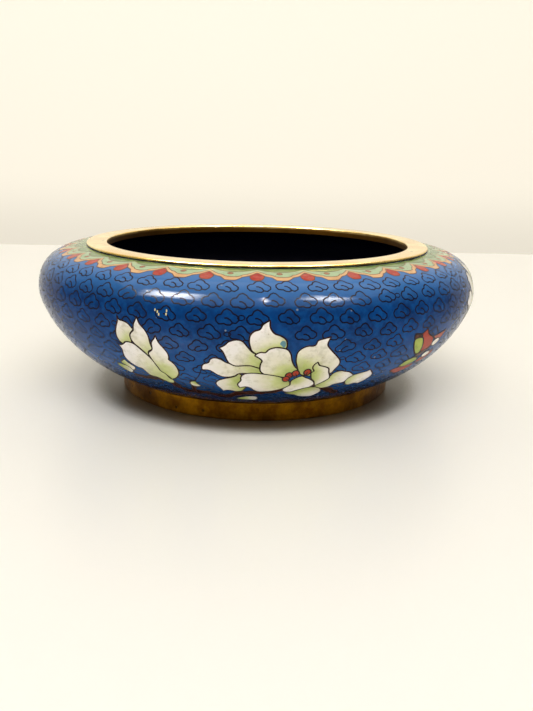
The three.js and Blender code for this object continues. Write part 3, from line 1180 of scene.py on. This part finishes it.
cells = spray(0) + spray(127, size=(0.85, 0.85), rise=18.8, whole=False, with_butterfly=False)
cells += spray(250) + spray(415, size=(-1, 1), with_butterfly=False)
blossoms = Inlay(cells, spacing=2.0)
blossom_lift = 0.07 * MM
blossom_wire_lift = 0.065 * MM
sheet_copy = blossoms.part("blossom sheet", {c["kind"]: 0 for c in cells}, 0)
petals = run(
    CELLS, blossoms.part("petals", {"petal": 0}, blossom_lift), "blossoms", count=1, pitch=0.0,
    guide=guide, material=enamel_petal)
accents = run(
    CELLS, blossoms.part("accents", ACCENT_TONES, blossom_lift), "accents", count=1, pitch=0.0,
    guide=guide, material=accent_enamel)
petal_wires = run(
    WIRES, blossoms.lines("petal lines"), "petal_wires", count=1, pitch=0.0, width=0.64 * MM,
    height=wire_height, lift=blossom_wire_lift, guide=guide, material=wire_brown)

# %% Loose wires
tendrils = [
    [(13.8, 53.7), (15.4, 54.8), (17, 55.6)], [(16.3, 52.5), (16.9, 54), (17.4, 55.5)],
    [(12.8, 56.1), (14.5, 56.8), (16, 56.6)], [(21.1, 52), (20.8, 53.5), (19.8, 54.8)],
    [(-22, 51.7), (-23.5, 55), (-25.5, 58), (-26.6, 60.3)], [(78, 48.5), (75, 51.2), (71, 53)],
]
points, edges = [], []
for tendril in tendrils:
    line = smooth_line(tendril, closed=False)
    edges += [(len(points) + index, len(points) + index + 1) for index in range(len(line) - 1)]
    points += [(spot.x * MM, -spot.y * MM, 0) for spot in line]
tendril_wires = run(
    WIRES, drawing("tendrils", points, edges=edges), "tendril_wires", count=1, pitch=0.0,
    width=0.4 * MM, height=wire_height, lift=blossom_wire_lift, guide=guide, material=wire_dark)

# %% [markdown]
# ## Clouds
# The rows of clouds start under the collar and go down to the foot. A row has fewer clouds where
# the bowl is narrower. A few small rings fill gaps between the clouds. Sizes here are millimetres.

# %% Rows and symbols
CLOUDS_ROUND = 56                # in each row near the belly
CLOUD_PITCH = 10.6               # on the narrower rows, measured on the bowl
NEAR_BELLY = 0.88                # a row counts as near the belly from this share of its radius
FIRST_ROW, ROW_PITCH = 15.5, 6.0
BARE_END = 3
CLOUD = [(-0.9, -0.2), (-0.1, -0.2), (0.9, -0.8), (1.6, -1.9, TIP), (2.7, -2.1), (3.7, -1.2),
         (3.7, -0.2), (2.8, 0.6), (2, 1, TIP), (1.4, 1.9), (0.1, 2.7), (-1, 2.3), (-1.8, 1.1, TIP),
         (-2.9, 0.9), (-3.7, 0), (-3.6, -1), (-2.8, -1.9), (-1.2, -1.9, TIP), (-0.3, -2.4),
         (0.8, -2.5), (1.6, -1.9, TIP)]


def radius_at(depth):
    """The bowl's radius at a way down from the mouth ring."""
    way = 0.0
    line = outside[::-1]
    for a, b in zip(line, line[1:]):
        way += (b - a).length
        if way >= depth:
            return b.x
    return line[-1].x


def cloud_rows(sideways):
    """One point for each row, with its number of clouds, their first place and their distance."""
    points, counts, phases, pitches, widenings = [], [], [], [], []
    depth = FIRST_ROW
    while depth < sheet_height / MM - BARE_END:
        radius = radius_at(depth * MM)
        narrow = round(2 * math.pi * radius / (CLOUD_PITCH * MM))
        count = CLOUDS_ROUND if radius > NEAR_BELLY * belly_radius else narrow
        phases.append((len(points) % 2) / 2 + sideways)
        points.append((0, -depth * MM, 0))
        counts.append(count)
        pitches.append(circumference / count)
        widenings.append(belly_radius / radius)
        depth += ROW_PITCH
    return drawing("rows", points, count=counts, phase=phases, pitch=pitches, widening=widenings)


def symbol(name, outline, closed):
    """A line of wire that the tree strews over the sheet."""
    line = smooth_line(outline, closed, step=0.9)
    edges = [(index, index + 1) for index in range(len(line) - 1)]
    if closed:
        edges.append((len(line) - 1, 0))
    return drawing(name, [(spot.x * MM, spot.y * MM, 0) for spot in line], edges=edges)


cloud = symbol("cloud", CLOUD, closed=False)
ring = symbol("small ring", oval(0, 0, 1.15, 0.8), closed=True)
strewn_height = 0.035 * MM
clouds = run(
    SCATTER, cloud_rows(sideways=0.05), "cloud_wires", symbol=cloud, blossoms=sheet_copy,
    share=1.0, seed=3, width=0.58 * MM, height=strewn_height, guide=guide, material=wire_dark)
rings = run(
    SCATTER, cloud_rows(sideways=0.55), "ring_wires", symbol=ring, blossoms=sheet_copy,
    share=0.05, seed=11, width=0.42 * MM, height=strewn_height, guide=guide, material=wire_dark)
for tool in (cloud, ring, sheet_copy, guide):
    bpy.data.objects.remove(tool)

# %% [markdown]
# ## On the body
# The bowl is one body, so every piece rides it.

# %% Pieces ride the bowl
pieces = [shell, mouth_ring, foot_ring, bare_edge, collar_cells, collar_wires, petals, accents,
          petal_wires, tendril_wires, clouds, rings]
for piece in pieces:
    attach(piece, "root")
print("pieces:", len(pieces))

# %% [markdown]
# ## The room
# The photograph was taken on a white table against a pale wall. Two long soft lights hang in front
# to the left and right with a small one between them, and a bright ceiling hangs over the bowl.
# Their images are the streaks and the paler band on the shoulder. A wide light above the camera
# lifts the table and the petals. The table is darkest close to the foot, under the belly. There an
# Ambient Occlusion node measures how open each point is, and deepens the shade.

# %% Table and wall
TABLE_SIDE, TABLE_FRONT, TABLE_BACK = 1.6, -1.2, 0.49
WALL_SIDE, WALL_DISTANCE, WALL_BOTTOM, WALL_TOP = 2.2, 0.95, -0.8, 1.6


def sheet(name, corners, colour, roughness, glow=0.0):
    """A part of the room. Painted shadow makes it darker close under the bowl, and a glow fades at its
    foot as painted shadow.
    """
    made = drawing(name, corners, faces=[(0, 1, 2, 3)])
    matt = [part * (1 - glow) for part in colour]
    hidden = [part * share for part, share in zip(matt, (0.15, 0.12, 0.08))]
    paint, graph, shader = material(name, Roughness=roughness, Emission_Strength=glow)
    # Painted shadow: the wall's glow fades towards its foot.
    foot = 1 - graph.split(own_place(graph))["Z"].ramp(-60 * MM, 70 * MM)
    # Painted shadow: ambient occlusion darkens the table's colour close under the bowl.
    reach = graph.node("ShaderNodeAmbientOcclusion", None, {"Distance": 20 * MM})["AO"]
    drive(graph, shader, Base_Color=graph.blend(reach.ramp(0.35, 0.62), hidden, matt),
          Emission_Color=graph.blend(foot * 0.18, colour, (0.0, 0.0, 0.0)))
    made.data.materials.append(paint)
    made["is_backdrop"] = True
    print(name, "is", "lit from within" if glow else "plain")


sheet("table", [(-TABLE_SIDE, TABLE_FRONT, 0), (TABLE_SIDE, TABLE_FRONT, 0),
                (TABLE_SIDE, TABLE_BACK, 0), (-TABLE_SIDE, TABLE_BACK, 0)],
      (0.92, 0.90, 0.85), 0.32)
sheet("wall", [(-WALL_SIDE, WALL_DISTANCE, WALL_BOTTOM), (WALL_SIDE, WALL_DISTANCE, WALL_BOTTOM),
               (WALL_SIDE, WALL_DISTANCE, WALL_TOP), (-WALL_SIDE, WALL_DISTANCE, WALL_TOP)],
      (0.97, 0.90, 0.755), 0.8, glow=0.82)

# %% Lights
LAMP_CENTRE = Vector((0, 0, 55 * MM))
LAMP_AIM = Vector((0, 0, 50 * MM))
LAMP_COLOUR = (1, 0.97, 0.92)
STRIP_DISTANCE, STRIP_DEPTH = 1.2, 0.1
RIM_SHARES = ((1, 0.1), (0.82, 0.2), (0.64, 0.3), (0.46, 0.4))


def towards(azimuth, elevation, distance):
    """A place seen from the bowl at a bearing from the back, clockwise, and a height in degrees."""
    a, e = math.radians(azimuth), math.radians(elevation)
    way = Vector((math.sin(a) * math.cos(e), math.cos(a) * math.cos(e), math.sin(e)))
    return LAMP_CENTRE + way * distance


def lamp(name, place, size, glow, along=(1, 0, 0)):
    """A rectangular light that faces the bowl, its first side along a direction."""
    data = bpy.data.lights.new(name, "AREA")
    data.shape = "RECTANGLE"
    data.size, data.size_y = size
    data.energy = glow * math.pi * size[0] * size[1]
    data.color = LAMP_COLOUR
    made = bpy.data.objects.new(name, data)
    back = (place - LAMP_AIM).normalized()
    across = (Vector(along) - back * back.dot(Vector(along))).normalized()
    turn = Matrix((across, back.cross(across), back)).transposed()
    made.matrix_world = Matrix.Translation(place) @ turn.to_4x4()
    scene.collection.objects.link(made)
    return made


def strip_lamp(name, start, stop, width, glow):
    """A long light with a soft rim: four sheets, each smaller and nearer than the one before.
    The gloss alone sees it, because the room already lights the rest."""
    for share, part in RIM_SHARES:
        distance = STRIP_DISTANCE + share * STRIP_DEPTH
        a = towards(*start, distance)
        b = towards(*stop, distance)
        size = (b - a).length * share, width * share
        sheet_lamp = lamp(name, (a + b) / 2, size, glow * part, along=b - a)
        sheet_lamp.visible_diffuse = False


strip_lamp("left strip", (-108, 42), (-148, 50), width=0.46, glow=140)
strip_lamp("right strip", (146, 59), (129, 38), width=0.38, glow=95)
strip_lamp("spot", (173.8, 51), (176.2, 51), width=0.36, glow=400)
ceiling = lamp("ceiling", towards(180, 74, 1.5), (3.2, 2.6), glow=3.2)
ceiling.visible_diffuse = False
fill = lamp("fill", towards(178, 52, 2.0), (2.0, 0.85), glow=4.9)
fill.visible_glossy = False
print("lamps:", len(bpy.data.lights))

# %% Sky
world = bpy.data.worlds.new("room")
world.use_nodes = True
room = Graph(world.node_tree)
background = world.node_tree.nodes["Background"]
way = room.split(room.node("ShaderNodeTexCoord")["Generated"])
overhead = way["Z"].ramp(0.3, 0.8)
room.tree.links.new((overhead * 0.16 + 0.42).socket, background.inputs["Strength"])
background.inputs["Color"].default_value = (1.0, 0.975, 0.92, 1)
scene.world = world
scene.view_settings.view_transform = "Standard"
print("the sky is brighter overhead")

# %% [markdown]
# ## The camera
# The viewpoint was worked out from the photograph: the camera is 35 cm in front of the bowl's middle
# and looks down on it by about 15 degrees.

# %% Camera
FOCAL_PIXELS, PHOTO_HEIGHT = 750, 711
CAMERA_DISTANCE, CAMERA_HEIGHT = 354.49 * MM, 108.07 * MM
yaw, tilt, roll = math.radians(0.853), math.radians(15.36), math.radians(1.227)
ahead = Vector((math.sin(yaw) * math.cos(tilt), math.cos(yaw) * math.cos(tilt), -math.sin(tilt)))
level = ahead.cross(Vector((0, 0, 1))).normalized()
upward = level.cross(ahead)
right = level * math.cos(roll) + upward * math.sin(roll)
up = upward * math.cos(roll) - level * math.sin(roll)
camera_data = bpy.data.cameras.new("camera")
camera_data.sensor_width = 36
camera_data.lens = camera_data.sensor_width * FOCAL_PIXELS / PHOTO_HEIGHT
camera_data.clip_start = 0.01
camera = bpy.data.objects.new("camera", camera_data)
stand = Matrix.Translation((0, -CAMERA_DISTANCE, CAMERA_HEIGHT))
camera.matrix_world = stand @ Matrix((right, up, -ahead)).transposed().to_4x4()
scene.collection.objects.link(camera)
scene.camera = camera
print(f"focal length {camera_data.lens:.1f} mm on a {camera_data.sensor_width:.0f} mm sensor")

# %% [markdown]
# ## The sizes at the end
# The size of what was made is written beside the size of the solids, so that both can be compared.

# %% Sizes at the end
made_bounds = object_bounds()


def listed(value):
    """Boxes as plain lists of numbers."""
    if isinstance(value, dict):
        return {key: listed(part) for key, part in value.items()}
    if isinstance(value, (str, int, float)) or value is None:
        return value
    return [listed(part) for part in value]


{"cad": listed(cad_bounds), "visual": listed(made_bounds)}
print("solids:", cad_bounds)
print("visual:", made_bounds)
